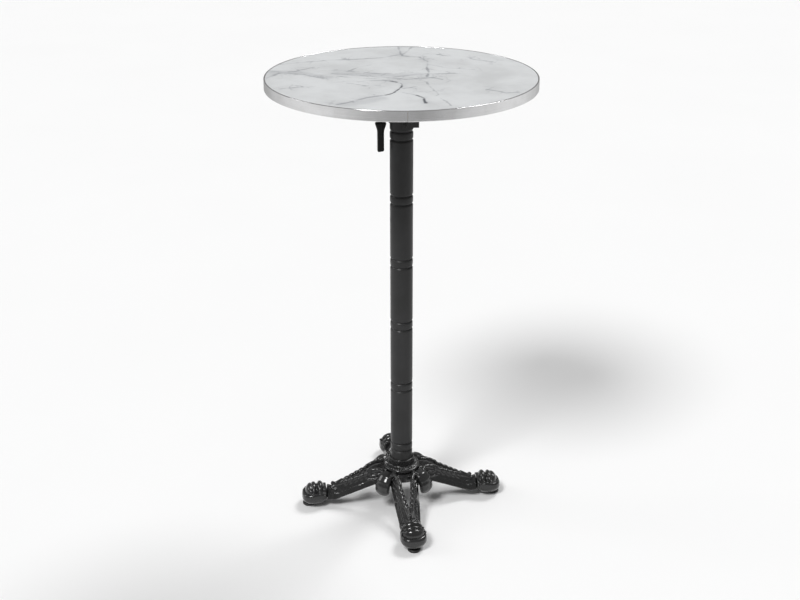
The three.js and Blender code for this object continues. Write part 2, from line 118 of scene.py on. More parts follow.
# The floor is a disc, so that the edge band mirrors the walls past it; a wide round backdrop that only
# the camera sees carries the same pale ground on to every side
FLOOR_R = 2.4
SWEEP_DROP = -0.003
SWEEP_FLAT_R = 10.0
SWEEP_EASE = 2.0
SWEEP_BEND_R = 4.0
SWEEP_TOP = 9.0
SWEEP_SIDES = 96
SWEEP_STEPS = 17


def make_world():
    """A plain soft room: a dim ceiling, and walls that turn smoothly from dim to pale and back."""
    world = bpy.data.worlds.new("studio")
    world.use_nodes = True
    tree = world.node_tree
    background = tree.nodes["Background"]
    coords = tree.nodes.new("ShaderNodeTexCoord")
    split = tree.nodes.new("ShaderNodeSeparateXYZ")
    tree.links.new(coords.outputs["Generated"], split.inputs[0])
    angle = maths(tree, "ARCTAN2", split.outputs["X"], split.outputs["Y"])
    swing = maths(tree, "COSINE", maths(tree, "MULTIPLY", angle, 2.0))
    wall = maths(tree, "MULTIPLY_ADD", swing, -WALL_SWING, WALL_TONE)
    above = ranged(tree, split.outputs["Z"], *WALL_HEAD)
    below = ranged(tree, split.outputs["Z"], *WALL_FOOT, 1.0, 0.0)
    off_wall = maths(tree, "MAXIMUM", above, below)
    sky = mixed(tree, off_wall, wall, (SKY_TONE, SKY_TONE, SKY_TONE, 1))
    tree.links.new(sky, background.inputs["Color"])
    background.inputs["Strength"].default_value = 1.0
    bpy.context.scene.world = world


def make_stage():
    make_world()
    bpy.context.scene.view_settings.view_transform = "Standard"
    for name, source, spread, strength in LIGHTS:
        broad_light(name, source, spread, strength)
    pale = floor_material()
    turns = np.linspace(0, TAU, SWEEP_SIDES, endpoint=False)
    edge = [(FLOOR_R * math.cos(a), FLOOR_R * math.sin(a), 0) for a in turns]
    stage_piece("floor", edge, [tuple(range(SWEEP_SIDES))], pale)
    sweep = [(0, SWEEP_DROP), (SWEEP_FLAT_R - SWEEP_EASE, SWEEP_DROP), (SWEEP_FLAT_R, SWEEP_DROP)]
    for a in np.linspace(0, math.pi / 2, SWEEP_STEPS):
        sweep.append((SWEEP_FLAT_R + SWEEP_BEND_R * math.sin(a), SWEEP_BEND_R * (1 - math.cos(a))))
    sweep.append((SWEEP_FLAT_R + SWEEP_BEND_R, SWEEP_TOP))
    vertices, faces = revolve(sweep, SWEEP_SIDES)
    open_faces = faces[:-SWEEP_SIDES]
    backdrop = stage_piece("backdrop", vertices, open_faces, pale)
    for ray in ("visible_diffuse", "visible_glossy", "visible_transmission", "visible_shadow"):
        setattr(backdrop, ray, False)


def stage_piece(name, vertices, faces, material):
    mesh = bpy.data.meshes.new(name)
    mesh.from_pydata(vertices, [], faces)
    mesh.materials.append(material)
    mesh.polygons.foreach_set("use_smooth", np.ones(len(mesh.polygons), bool))
    piece = bpy.data.objects.new(name, mesh)
    bpy.context.scene.collection.objects.link(piece)
    return piece


# ---------------------------------------------------------------- meshes


def add_mesh(name, vertices, faces, material, body, replaced=(), smooth_angle=40):
    """A piece in the row frame that rides a body and stands for CAD nodes."""
    mesh = bpy.data.meshes.new(name)
    mesh.from_pydata([tuple(v) for v in vertices], [], [tuple(f) for f in faces])
    mesh.materials.append(material)
    obj = bpy.data.objects.new(name, mesh)
    bpy.context.scene.collection.objects.link(obj)
    finish_piece(obj, body, replaced, smooth_angle)
    return obj


def finish_piece(obj, body, replaced, smooth_angle):
    mesh = obj.data
    mesh.validate()
    mesh.update()
    mesh.polygons.foreach_set("use_smooth", np.ones(len(mesh.polygons), bool))
    if smooth_angle is not None:
        mesh.set_sharp_from_angle(angle=math.radians(smooth_angle))
    if body is not None:
        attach(obj, body)
    if replaced:
        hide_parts(*replaced)


def revolve(profile, segments, start=0.0, turn=TAU, bend=None):
    """Vertices and faces of a closed outline of (radius, height) turned about Z.

    A turn short of a whole one gets end caps. bend(angle, radius, height) may move a point.
    """
    whole = turn >= TAU - 1e-6
    stations = segments if whole else segments + 1
    vertices = []
    rings = []
    for r, z in profile:
        if r < 1e-9 and bend is None:
            rings.append([len(vertices)] * stations)
            vertices.append((0.0, 0.0, z))
            continue
        rings.append(list(range(len(vertices), len(vertices) + stations)))
        for k in range(stations):
            angle = start + turn * k / segments
            radius, height = bend(angle, r, z) if bend else (r, z)
            vertices.append((radius * math.cos(angle), radius * math.sin(angle), height))
    faces = []
    for i, low in enumerate(rings):
        high = rings[(i + 1) % len(rings)]
        for k in range(segments):
            n = (k + 1) % stations
            corners = [low[k], low[n], high[n], high[k]]
            face = [c for j, c in enumerate(corners) if c != corners[j - 1]]
            if len(set(face)) >= 3:
                faces.append(face)
    if not whole:
        faces.append([ring[0] for ring in rings])
        faces.append([ring[-1] for ring in reversed(rings)])
    return vertices, faces


def in_metres(vertices):
    return [(x * MM, y * MM, z * MM) for x, y, z in vertices]


def helix_tube(points, radius, sides):
    """A tube along points, with closed ends."""
    path = [Vector(p) for p in points]
    vertices = []
    faces = []
    for i, p in enumerate(path):
        along = (path[min(i + 1, len(path) - 1)] - path[max(i - 1, 0)]).normalized()
        side = along.cross(Vector((1, 0, 0)))
        if side.length < 1e-4:
            side = along.cross(Vector((0, 1, 0)))
        side.normalize()
        other = along.cross(side)
        for k in range(sides):
            a = TAU * k / sides
            vertices.append(p + radius * (math.cos(a) * side + math.sin(a) * other))
    for i in range(len(path) - 1):
        for k in range(sides):
            n = (k + 1) % sides
            faces.append((i * sides + k, i * sides + n, (i + 1) * sides + n, (i + 1) * sides + k))
    faces.append(tuple(range(sides - 1, -1, -1)))
    faces.append(tuple((len(path) - 1) * sides + k for k in range(sides)))
    return vertices, faces


# ---------------------------------------------------------------- distance fields, in millimetres


def smooth_min(a, b, k):
    h = np.clip(0.5 + 0.5 * (b - a) / k, 0, 1)
    return b * (1 - h) + a * h - k * h * (1 - h)


def smooth_max(a, b, k):
    return -smooth_min(-a, -b, k)


def ramp(x, start, end):
    t = np.clip((x - start) / (end - start), 0, 1)
    return t * t * (3 - 2 * t)


def tube(p, start, end, r0, r1):
    """Distance to a round-ended rod whose radius goes from r0 to r1."""
    a, b = np.array(start, np.float32), np.array(end, np.float32)
    d = b - a
    rel = [p[i] - a[i] for i in range(3)]
    t = np.clip(sum(rel[i] * d[i] for i in range(3)) / float(d @ d), 0, 1)
    off = np.sqrt(sum((rel[i] - d[i] * t) ** 2 for i in range(3)))
    return off - (r0 + (r1 - r0) * t)


def tube_chain(p, points, radii, k):
    field = tube(p, points[0], points[1], radii[0], radii[1])
    for i in range(1, len(points) - 1):
        field = smooth_min(field, tube(p, points[i], points[i + 1], radii[i], radii[i + 1]), k)
    return field


def ellipsoid(p, centre, radii):
    q = [(p[i] - centre[i]) / radii[i] for i in range(3)]
    near = np.sqrt(sum(c * c for c in q)) + 1e-6
    slope = np.sqrt(sum((q[i] / radii[i]) ** 2 for i in range(3))) + 1e-6
    return near * (near - 1) / slope


def round_rect(x, y, half_x, half_y, radius):
    """Distance in a plane to a rounded rectangle centred on the origin."""
    qx = np.abs(x) - half_x + radius
    qy = np.abs(y) - half_y + radius
    outside = np.sqrt(np.maximum(qx, 0) ** 2 + np.maximum(qy, 0) ** 2)
    return outside + np.minimum(np.maximum(qx, qy), 0) - radius


def field_mesh(blocks, cell):
    """Quads on the zero surface of fields given as (array, first cell index)."""
    band = 3 * cell
    grid = openvdb.FloatGrid(band)
    for values, first in blocks:
        grid.copyFromArray(np.clip(values, -band, band).astype(np.float32), ijk=first)
    grid.transform = openvdb.createLinearTransform(cell)
    points, quads = grid.convertToQuads(0.0)
    return points, quads[:, ::-1]


# ---------------------------------------------------------------- base casting

COLUMN_R = 26.6
COLUMN_BORE_R = 23.5
COLUMN_BOTTOM = 96.3
COLUMN_TOP = 983.7

BASE_CELL = 1.0
BASE_REACH = 254
BASE_WING = 68
BASE_TOP = 124

# A leg's wall runs between these distances from the column's axis
LEG_START = 40.0
LEG_END = 188.0
LEG_BEND_R = 120
WALL_HALF = 3.0
ROPE_PITCH = 12.5
LEAF_PITCH = 13.0
LEAF_DEPTH = 3.0

PAW_R = 219
PAW_HALF_LENGTH = 31
PAW_HALF_WIDTH = 32
PAW_SQUARENESS = 2.6
TOE_TOP_ANGLE = 113
TOE_END_ANGLE = 48.5
TOE_STEP = 43

# Distances across a lobe count for this share, so that its round rods come out broader than deep
LOBE_NARROWING = 0.54

HUB_R = 47.5
HUB_MIDDLE_Z = 79.2
HUB_HALF_HEIGHT = 11.3
NECK_R = 30.4
WELL_R = 22
ROD_HOLE_R = 6.8
COLUMN_GAP = 0.4

GLIDE_R = 233.0
STUD_HOLE_R = 4.4
STUD_HOLE_TOP = 36


def ridge(r):
    """Half spacing and height of a leg's two roped ridges at a distance from the column."""
    spacing = np.maximum(8.0 - 0.185 * (r - LEG_BEND_R), 0)
    height = np.minimum(98 - 0.08 * (r - 50), 72.6 - 0.4445 * (r - LEG_BEND_R))
    return spacing, np.maximum(height, 47.0)


def foot_edge(r):
    spacing = 27.0 - 0.092 * (r - LEG_BEND_R)
    height = np.maximum(39.5 - 0.42 * (r - LEG_BEND_R), 19.0)
    return spacing, height


def leg_field(r, s, z):
    """One leaning wall of a leg with its rope, ledge, cuff and scroll. r runs out, s sideways."""
    top_s, top_z = ridge(r)
    low_s, low_z = foot_edge(r)
    run_s, run_z = low_s - top_s, low_z - top_z
    length = np.sqrt(run_s ** 2 + run_z ** 2)
    run_s, run_z = run_s / length, run_z / length
    down = (s - top_s) * run_s + (z - top_z) * run_z
    out = (s - top_s) * -run_z + (z - top_z) * run_s
    stroke = np.abs(np.cos(math.pi * (r - 0.84 * down) / LEAF_PITCH)) ** 1.6
    panel = ramp(down, 5.5, 7.5) * (1 - ramp(down, 13.0, 16.5)) * ramp(r, 84, 88) * (1 - ramp(r, 142, 156))
    thickness = WALL_HALF + (LEAF_DEPTH * stroke - 0.6) * panel
    wall = round_rect(down - length / 2, out + 1.5, length / 2, thickness, 1.8)
    flange_h = 14.0
    proud = 0.3 + 1.9 * ramp(r, 96, 112) + 1.8 * ramp(r, 158, 172)
    flange = round_rect(down - (length - flange_h / 2), out + 1.5, flange_h / 2, 3.2 + proud, 1.0)
    field = smooth_min(wall, flange, 0.6)
    turn = np.arctan2(out + 0.5, down - 4.5)
    strand = np.abs(np.sin(math.pi * r / ROPE_PITCH + turn / 2)) ** 0.7
    fade = ramp(r, 76, 82) * (1 - ramp(r, 148, 156))
    rope_r = 5.0 + fade * (2.6 * strand - 1.7) - 1.6 * ramp(r, 150, 172)
    rope = np.sqrt((down - 4.5) ** 2 + (out + 0.5) ** 2) - rope_r
    field = smooth_min(field, rope, 1.0)
    local = (r, down, out)
    scroll = tube_chain(
        local,
        [(52, 15, 2.5), (66, 15.5, 2.5), (75, 14, 2.5), (80, 10.5, 2.5), (80, 6, 2.5)],
        [2.0, 2.6, 2.9, 2.9, 2.6], 1.0,
    )
    field = smooth_min(field, scroll, 0.8)
    leaf = tube_chain(local, [(56, 24, 2.0), (72, 25, 2.0), (88, 19, 1.6)], [1.4, 2.2, 1.0], 1.0)
    field = smooth_min(field, leaf, 0.8)
    cuff = tube(local, (185, 0, 2.2), (166, 16, 2.6), 1.7, 2.0)
    field = smooth_min(field, cuff, 0.7)
    rim = round_rect(down - length / 2, out + 1.5, length / 2, 5.4, 1.2)
    rim = smooth_max(rim, np.abs(r - 186.5) - 1.6, 0.5)
    field = smooth_min(field, rim, 0.7)
    field = smooth_max(field, r - LEG_END, 1.0)
    return smooth_max(field, LEG_START - r, 1.0)


def bud_field(r, s, z):
    """The small bud and bead where a leg's two ridges meet."""
    bud = ellipsoid((r, s, z), (172.5, 0, 53.0), (5.4, 4.6, 5.4))
    bead = ellipsoid((r, s, z), (164.5, 0, 53.0), (3.0, 3.0, 2.6))
    stem = tube((r, s, z), (150, 0, 60), (168, 0, 51.5), 4.6, 3.2)
    return smooth_min(smooth_min(bud, bead, 1.0), stem, 2.0)


def paw_field(r, s, z):
    """A paw: a bowl-shaped sole with a lip, one tall knuckle and toes that meet at the sides."""
    long_part = (np.abs(r - PAW_R) / PAW_HALF_LENGTH) ** PAW_SQUARENESS
    wide_part = (s / PAW_HALF_WIDTH) ** PAW_SQUARENESS
    plan = (long_part + wide_part + 1e-9) ** (1 / PAW_SQUARENESS)
    drop = np.clip((25 - z) / 20.5, 0, 1)
    bowl = np.sqrt(np.clip(1 - drop ** 2, 0, 1))
    front = np.clip((r - PAW_R) / 12, -1, 1) * np.clip(1 - s / 26, 0, 1)
    bowl = bowl + (1 - bowl) * 0.62 * np.abs(front)
    lean = 1 - 0.05 * np.clip((z - 25) / 14, 0, 1)
    sole_top = 41.0 - 4.0 * np.clip((r - 214) / 28, 0, 1)
    sole = (plan - bowl * lean) * 24
    sole = smooth_max(sole, z - sole_top, 7.0)
    sole = smooth_max(sole, 7.6 - z, 1.0)
    knuckle = ellipsoid((r, s, z), (205.0, 0, 33), (12.0, 26.5, 26))
    reach = np.sqrt(((r - 221) ** 2 + (z - 36) ** 2) / 21.0 ** 2 + (s / 26.5) ** 2)
    angle = np.degrees(np.arctan2(z - 36, r - 221))
    toe = np.abs(np.sin(math.pi * (TOE_TOP_ANGLE - angle) / TOE_STEP)) ** 0.6
    toe = np.where(angle > TOE_TOP_ANGLE, 0.0, np.where(angle < TOE_END_ANGLE, 1.0, toe))
    depth = 0.24 * np.clip(reach, 0, 1) * (1 - 0.8 * ramp(s, 17, 26))
    fan = (reach - 1 + depth * (1 - toe)) * 20
    field = smooth_min(knuckle, fan, 0.5)
    crease = np.abs(field) - 0.8
    sole = smooth_max(sole, -smooth_max(crease, 30 - z, 0.5), 0.5)
    field = smooth_min(field, sole, 0.5)
    neck = round_rect(s, z - 32, 21.0, 15.0, 8)
    neck = smooth_max(neck, np.abs(r - 196) - 6.5, 1.2)
    field = smooth_min(field, neck, 2.0)
    beads = (
        ((193, 22.5, 38.0), 3.4),
        ((193, 23.0, 31.0), 3.2),
        ((222.5, 28.0, 40.0), 3.2),
        ((207, 25.0, 42.0), 2.6),
    )
    for centre, size in beads:
        field = smooth_min(field, ellipsoid((r, s, z), centre, (size, size, size)), 0.4)
    return field


def lobe_field(r, s, z):
    """The drooping cushion on the diagonal, and the ridge that curls over into it."""
    along = (r + s) / math.sqrt(2)
    across = (r - s) / math.sqrt(2)
    narrowed = (along, across * LOBE_NARROWING, z)
    path = [(46, 84), (56, 88), (65, 86), (72, 78), (76, 68), (77, 58), (76, 52.0)]
    radii = [8.4, 9.2, 9.8, 10.3, 10.4, 10.4, 9.8]
    cushion = tube_chain(narrowed, [(u, 0, h) for u, h in path], radii, 4.0)
    back = round_rect(along - 60, z - 72, 14, 10, 4)
    back = smooth_max(back, across - 12, 3)
    field = smooth_min(cushion, back, 4.0)
    crease = np.sqrt((across - 10.5) ** 2 + (z - 66) ** 2 + (along - 88) ** 2) - 2.2
    field = smooth_max(field, -crease, 1.5)
    curl_path = [
        (86, 14.0, 88.5), (74, 16.5, 92.6), (64, 18.8, 95.0), (56, 23, 96.0),
        (52, 29, 94.5), (51, 35, 89), (52, 38, 82),
    ]
    curl = tube_chain((r, s, z), curl_path, [3.8, 4.4, 4.6, 4.6, 4.4, 4.2, 3.4], 1.5)
    return smooth_min(field, curl, 0.9)


def hub_field(r, s, z):
    """The round hub: a lipped disc and a neck, bored for the column and the tie rod."""
    radius = np.sqrt(r * r + s * s)
    hub = round_rect(radius, z - HUB_MIDDLE_Z, HUB_R, HUB_HALF_HEIGHT, 2.5)
    lip = np.sqrt((radius - 46.8) ** 2 + (z - 88.2) ** 2) - 2.4
    neck = round_rect(radius, z - 100, NECK_R, 21, 1.0)
    field = smooth_min(smooth_min(hub, lip, 0.8), neck, 1.0)
    well = smooth_max(radius - WELL_R, z - 80, 1.0)
    field = smooth_max(field, -well, 1.0)
    bore = smooth_max(radius - COLUMN_R - COLUMN_GAP, 96 - z, 0.3)
    field = smooth_max(field, -bore, 0.4)
    rod_hole = radius - ROD_HOLE_R
    return smooth_max(field, -rod_hole, 0.4)


def make_base():
    """One leg's field, turned to the four sides; r is the larger plan distance and s the smaller."""
    cell = BASE_CELL
    axis_r = np.arange(0, BASE_REACH / cell + 1, dtype=np.float32) * cell
    axis_s = np.arange(0, BASE_WING / cell + 1, dtype=np.float32) * cell
    axis_z = np.arange(0, BASE_TOP / cell + 1, dtype=np.float32) * cell
    r, s, z = np.meshgrid(axis_r, axis_s, axis_z, indexing="ij")
    field = smooth_min(leg_field(r, s, z), bud_field(r, s, z), 1.0)
    field = smooth_min(field, lobe_field(r, s, z), 2.0)
    hub = hub_field(r, s, z)
    field = smooth_min(np.where(r * r + s * s < LEG_START ** 2, 9.0, field), hub, 1.5)
    field = np.minimum(field, paw_field(r, s, z))
    stud_hole = np.sqrt((r - GLIDE_R) ** 2 + s * s) - STUD_HOLE_R
    field = smooth_max(field, -smooth_max(stud_hole, z - STUD_HOLE_TOP, 0.3), 0.4)
    reach, wing = len(axis_r) - 1, len(axis_s) - 1
    long = np.abs(np.arange(-reach, reach + 1))
    short = np.abs(np.arange(-wing, wing + 1))
    far = np.maximum(long[:, None], short[None, :])
    near = np.minimum(long[:, None], short[None, :])
    arms = field[far, near]
    blocks = [(arms, (-reach, -wing, 0)), (arms.transpose(1, 0, 2).copy(), (-wing, -reach, 0))]
    points, quads = field_mesh(blocks, cell)
    add_mesh("base_casting_look", points * MM, quads, MATERIALS["base"], "base",
             ["base_casting"], smooth_angle=None)


# ---------------------------------------------------------------- collar, column and rod

COLLAR_TEETH = 40
BAND_FIRST_Z = 152.6
BAND_PITCH = 165.6
BAND_PITCH_LOSS = 3.5
BAND_COUNT = 6
GROOVE_OFFSET = 10
GROOVE_DEPTH = 2.4
GROOVE_SOFTNESS = 2.3
BARREL_DEPTH = 0.5
PROFILE_STEP = 0.75


def collar_tooth(angle, r, z):
    """Raise rounded teeth on the collar's sloping shoulder."""
    on_slope = max(0.0, 1 - ((r - 37.6) / 4.2) ** 4) if z > 98 else 0.0
    tooth = abs(math.cos(COLLAR_TEETH * angle / 2))
    lift = 3.0 * (tooth ** 0.6 - 0.75) * on_slope
    return r + 0.25 * lift, z + lift


def make_collar():
    bulge = np.linspace(-1.3, 1.25, 12)
    torus = [(45.3 - 3.6 + 3.6 * math.cos(a), 96.2 + 4.4 * math.sin(a)) for a in bulge]
    slope = [
        (41.8, 100.4), (41.2, 101.2), (39.5, 101.9), (37.6, 102.6),
        (35.7, 103.3), (34.0, 103.9), (33.2, 104.2),
    ]
    profile = [(30.7, 91.0)] + torus + slope + [(32.4, 105.2), (30.7, 105.0)]
    vertices, faces = revolve(profile, COLLAR_TEETH * 10, bend=collar_tooth)
    add_mesh("base_collar_look", in_metres(vertices), faces, MATERIALS["base"], "base",
             ["base_collar"], smooth_angle=50)


def groove_band_z(band):
    """The groove pairs stand a little closer together towards the top."""
    return BAND_FIRST_Z + band * BAND_PITCH - BAND_PITCH_LOSS * band * (band - 1) / 2


def groove_depth(z):
    """How far the column's surface is cut in at a height: rounded grooves, a slight barrel between."""
    depth = 0.0
    for band in range(BAND_COUNT):
        centre = groove_band_z(band)
        for offset in (-GROOVE_OFFSET, GROOVE_OFFSET):
            depth += GROOVE_DEPTH * math.exp(-((z - centre - offset) / GROOVE_SOFTNESS) ** 2)
        if abs(z - centre) < GROOVE_OFFSET:
            depth += BARREL_DEPTH * ((z - centre) / GROOVE_OFFSET) ** 2
    return depth


def make_column():
    heights = [COLUMN_BOTTOM, COLUMN_TOP]
    for band in range(BAND_COUNT):
        centre = groove_band_z(band)
        heights += [centre + step * PROFILE_STEP for step in range(-21, 22)]
    wall = [(COLUMN_R - groove_depth(z), z) for z in sorted(heights)]
    profile = [(COLUMN_BORE_R, COLUMN_BOTTOM)] + wall + [(COLUMN_BORE_R, COLUMN_TOP)]
    vertices, faces = revolve(profile, 96)
    add_mesh("column_tube_look", in_metres(vertices), faces, MATERIALS["column"], "base",
             ["column_tube"], smooth_angle=40)


# ---------------------------------------------------------------- table top

TOP_R = 303.0
TOP_HEIGHT = 1080.0
BAND_HEIGHT = 23.0
BAND_WALL = 1.4
BAND_LIP = 3.0
BAND_CORNER = 0.9
ROUND_STEPS = 288
SEAM_WIDTH = 0.6
SEAM_AZIMUTH = math.radians(-94.9)
MARBLE_TOP = 1079.6
SHEET_R = 299.7
SHEET_THICKNESS = 1.0
SHEET_EDGE = 0.15


def make_edge_band():
    low = TOP_HEIGHT - BAND_HEIGHT
    lip = TOP_R - BAND_LIP
    wall = TOP_R - BAND_WALL
    soft = BAND_CORNER
    corner = [(soft * math.sin(a), soft * (1 - math.cos(a))) for a in np.linspace(0, math.pi / 2, 5)]
    profile = [(lip, low), (TOP_R - 2 * soft, low)]
    profile += [(TOP_R - soft + x, low + z) for x, z in corner]
    profile += [(TOP_R - soft + x, TOP_HEIGHT - z) for x, z in reversed(corner)]
    profile += [(TOP_R - 2 * soft, TOP_HEIGHT), (lip + 0.3, TOP_HEIGHT), (lip, TOP_HEIGHT - 0.3)]
    profile += [(lip, TOP_HEIGHT - BAND_WALL), (wall, TOP_HEIGHT - BAND_WALL)]
    profile += [(wall, low + BAND_WALL), (lip, low + BAND_WALL)]
    half_seam = SEAM_WIDTH / 2 / TOP_R
    vertices, faces = revolve(profile, ROUND_STEPS, SEAM_AZIMUTH + half_seam, TAU - 2 * half_seam)
    add_mesh("edge_band_look", in_metres(vertices), faces, MATERIALS["band"], "top",
             ["edge_band"], smooth_angle=50)


def make_marble_sheet():
    low = MARBLE_TOP - SHEET_THICKNESS
    profile = [(0, low), (SHEET_R, low), (SHEET_R, MARBLE_TOP - SHEET_EDGE)]
    profile += [(SHEET_R - SHEET_EDGE, MARBLE_TOP), (0, MARBLE_TOP)]
    vertices, faces = revolve(profile, ROUND_STEPS)
    add_mesh("marble_laminate_look", in_metres(vertices), faces, MATERIALS["marble"],
             "top", ["marble_laminate"], smooth_angle=30)


# ---------------------------------------------------------------- handle, spring, screws and glides

HANDLE_X = -47.2
HANDLE_TOP = 975.0
HANDLE_BOTTOM = 907.0
HANDLE_CELL = 0.5
HANDLE_LOW_CORNER = (-63.0, -12.0, 901.0)
HANDLE_HIGH_CORNER = (-29.0, 12.0, 979.0)

SPRING_Z = 1022.0
SPRING_ENDS_X = (-22.6, -47.4)
SPRING_COIL_R = 3.5
SPRING_WIRE_R = 0.5
SPRING_TURNS = 13
SPRING_STEPS = 14

SCREW_COUNT = 8
SCREW_CELL = 0.25
SCREW_HALF_CELLS = 24
SCREW_TURN = 0.7


def make_handle():
    """A moulded grip that flares to a collar at its top, with a rib down each broad side."""
    cell = HANDLE_CELL
    corners = zip(HANDLE_LOW_CORNER, HANDLE_HIGH_CORNER)
    axes = [np.arange(round(low / cell), round(high / cell) + 1) for low, high in corners]
    x, y, z = np.meshgrid(*[a.astype(np.float32) * cell for a in axes], indexing="ij")
    flare = ramp(z, HANDLE_TOP - 26, HANDLE_TOP)
    half = 7.4 + 5.3 * flare ** 1.4
    middle = HANDLE_X + 0.2 * flare
    flat = round_rect((x - middle) * 8 / half, y * 8 / (7.2 + 0.5 * flare), 8, 8, 4.5)
    slant = (x - HANDLE_X) * 0.12
    ends = np.maximum(z - HANDLE_TOP, HANDLE_BOTTOM + slant + 0.9 - z)
    body = smooth_max(flat, ends, 3.0)
    rib = round_rect(x - HANDLE_X - 2.5, z - HANDLE_TOP + 16, 1.4, 15, 1.2)
    rib = smooth_max(rib, np.abs(y) - 8.6, 0.8)
    body = smooth_min(body, rib, 1.2)
    line = np.sqrt((x - HANDLE_X) ** 2 + (np.abs(y) - 7.6) ** 2) - 0.9
    line = smooth_max(line, np.abs(z - 930) - 16, 1.0)
    body = smooth_max(body, -line, 0.5)
    first = tuple(int(a[0]) for a in axes)
    points, quads = field_mesh([(body, first)], cell)
    add_mesh("lever_handle_look", points * MM, quads, MATERIALS["handle"], "latch",
             ["lever_handle"], smooth_angle=None)


def make_spring():
    """A coil from the head to the lever."""
    start, end = SPRING_ENDS_X
    count = SPRING_TURNS * SPRING_STEPS
    points = []
    for i in range(count + 1):
        a = TAU * i / SPRING_STEPS
        x = start + (end - start) * (i / count)
        points.append((x, SPRING_COIL_R * math.cos(a), SPRING_Z + SPRING_COIL_R * math.sin(a)))
    vertices, faces = helix_tube(points, SPRING_WIRE_R, 8)
    obj = add_mesh("latch_spring_look", in_metres(vertices), faces, MATERIALS["zinc"], None,
                   ["latch_spring"], smooth_angle=60)
    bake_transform(obj)


def screw_points():
    """Name, centre and lowest height of each frame screw, from the frame's nodes."""
    places = []
    for k in range(1, SCREW_COUNT + 1):
        low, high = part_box(f"frame_screw_{k}")
        places.append((f"frame_screw_{k}", (low.x + high.x) / 2, (low.y + high.y) / 2, low.z))
    return places


def make_screws():
    """Pan heads with a cross recess, seen from below."""
    cell = SCREW_CELL
    half = SCREW_HALF_CELLS
    grid = np.arange(-half, half + 1).astype(np.float32) * cell
    x, y, z = np.meshgrid(grid, grid, grid, indexing="ij")
    radius = np.sqrt(x * x + y * y)
    dome = ellipsoid((x, y, z), (0, 0, 3.0), (4.6, 4.6, 3.4))
    head = smooth_max(dome, z - 3.0, 0.3)
    head = smooth_min(head, smooth_max(radius - 2.2, np.abs(z - 4.0) - 1.6, 0.2), 0.2)
    arm = np.minimum(round_rect(x, y, 2.6, 0.55, 0.3), round_rect(x, y, 0.55, 2.6, 0.3))
    recess = smooth_max(arm + 0.25 * np.maximum(z, 0), z - 1.9, 0.2)
    head = smooth_max(head, -recess, 0.15)
    points, quads = field_mesh([(head, (-half, -half, -half))], cell)
    for number, (name, cx, cy, low_z) in enumerate(screw_points()):
        turn = Matrix.Rotation(SCREW_TURN * number, 3, "Z")
        placed = [turn @ Vector(p) * MM + Vector((cx, cy, low_z)) for p in points]
        add_mesh(f"{name}_look", placed, quads, MATERIALS["zinc"], "top", [name],
                 smooth_angle=35)


THREAD_PITCH = 1.25
THREAD_DEPTH = 0.65
THREAD_R = 4.0
THREAD_LOW = 7.2
THREAD_HIGH = 33.0
THREAD_STEP = THREAD_PITCH / 4


def stud_thread(angle, r, z):
    """Cut a one-start thread into the stud's shank."""
    if r < THREAD_R - 0.1 or z < THREAD_LOW or z > THREAD_HIGH:
        return r, z
    wave = abs(((z / THREAD_PITCH - angle / TAU) % 1.0) * 2 - 1)
    return r - THREAD_DEPTH * wave, z


def make_glides():
    pad = [(0, 0), (13.2, 0), (14.4, 0.35), (15.2, 1.2), (15.5, 2.2), (15.5, 4.2)]
    pad += [(15.1, 5.2), (14.2, 6.0), (12.8, 6.5), (8.0, 6.6), (7.3, 6.4), (7.3, 3.0), (0, 3.0)]
    stud = [(0, 3.3), (6.6, 3.3), (7.0, 3.6), (7.0, 6.7), (6.7, 7.0), (4.0, 7.0)]
    stud += [(THREAD_R, THREAD_LOW + THREAD_STEP * i) for i in range(84)]
    stud += [(3.2, 34.0), (0, 34.0)]
    pad_mesh = revolve(pad, 64)
    stud_mesh = revolve(stud, 28, bend=stud_thread)
    for k in range(4):
        angle = k * math.pi / 2
        cx, cy = GLIDE_R * math.cos(angle), GLIDE_R * math.sin(angle)
        for (vertices, faces), name, material, slot, body in (
            (pad_mesh, f"glide_pad_{k + 1}", "glide", "glide_black", f"glide_{k + 1}"),
            (stud_mesh, f"glide_stud_{k + 1}", "zinc", "zinc_steel", f"stud_{k + 1}"),
        ):
            placed = [((x + cx) * MM, (y + cy) * MM, z * MM) for x, y, z in vertices]
            add_mesh(f"{name}_look", placed, faces, MATERIALS[material], body, [name])


# ---------------------------------------------------------------- CAD nodes kept as they are

KEPT = {
    "bracket": [
        "top_frame", "latch_keeper", "hinge_bolt_front", "hinge_bolt_rear", "column_head", "latch_lever",
    ],
    "zinc": [
        "tie_rod", "tie_washer_top", "tie_washer_bottom", "tie_nut_top", "tie_nut_bottom", "latch_pin",
    ],
    "bush": ["hinge_bush_front", "hinge_bush_rear"],
    "board": ["tabletop_core"],
    "backing": ["backing_laminate"],
    "rubber": ["rest_buffer_front", "rest_buffer_rear"],
}
# Width of the small bevel on the edges of each kind of CAD node
SOFT_EDGE = {"bracket": 0.0009, "zinc": 0.0005, "rubber": 0.0008, "bush": 0.0003}
SOFT_EDGE_ANGLE = 40


def dress_cad_nodes():
    for material, names in KEPT.items():
        for name in names:
            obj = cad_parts[name]
            obj.data.materials.clear()
            obj.data.materials.append(MATERIALS[material])
            if material in SOFT_EDGE:
                bevel = obj.modifiers.new("soft_edges", "BEVEL")
                bevel.width = SOFT_EDGE[material]
                bevel.segments = 2
                bevel.limit_method = "ANGLE"
                bevel.angle_limit = math.radians(SOFT_EDGE_ANGLE)


# ---------------------------------------------------------------- shader helpers


def new_material(name):
    material = bpy.data.materials.new(name)
    material.use_nodes = True
    return material, material.node_tree, material.node_tree.nodes["Principled BSDF"]


def feed(tree, socket, value):
    if isinstance(value, bpy.types.NodeSocket):
        tree.links.new(value, socket)
    else:
        socket.default_value = value


